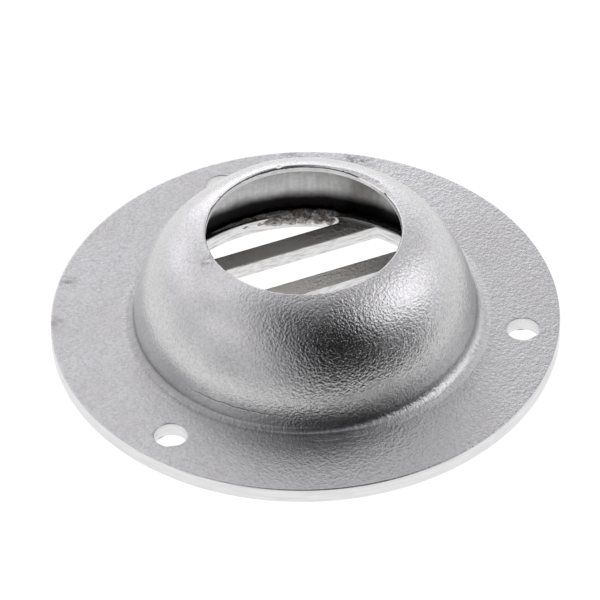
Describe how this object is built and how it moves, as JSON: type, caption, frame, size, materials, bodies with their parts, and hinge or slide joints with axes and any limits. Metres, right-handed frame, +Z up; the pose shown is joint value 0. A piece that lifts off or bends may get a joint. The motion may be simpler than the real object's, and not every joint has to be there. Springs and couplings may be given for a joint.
{
  "type": "stanchion base",
  "caption": "Round deck base with a hollow dome that takes an upright rail tube, screw holes in its flange, and drained stop bars under the tube.",
  "frame": {"origin": "centre of the plate's underside, on the deck", "axes": "+Z up the tube, +X along the stop bars; one screw hole lies on +Y"},
  "size_m": [0.08, 0.08, 0.0201],
  "materials": {
    "plate_steel": "fine blasted, matte",
    "dome_steel": "orange peel, matte",
    "ground_weld": "ground and blended",
    "raw_weld": "raw bead with brown heat tint"
  },
  "bodies": {
    "root": {"base_plate": "plate_steel", "dome_shell": "dome_steel", "outer_fillet_weld": "ground_weld", "inner_weld_1": "raw_weld", "inner_weld_2": "raw_weld", "inner_weld_3": "raw_weld"}
  },
  "joints": []
}
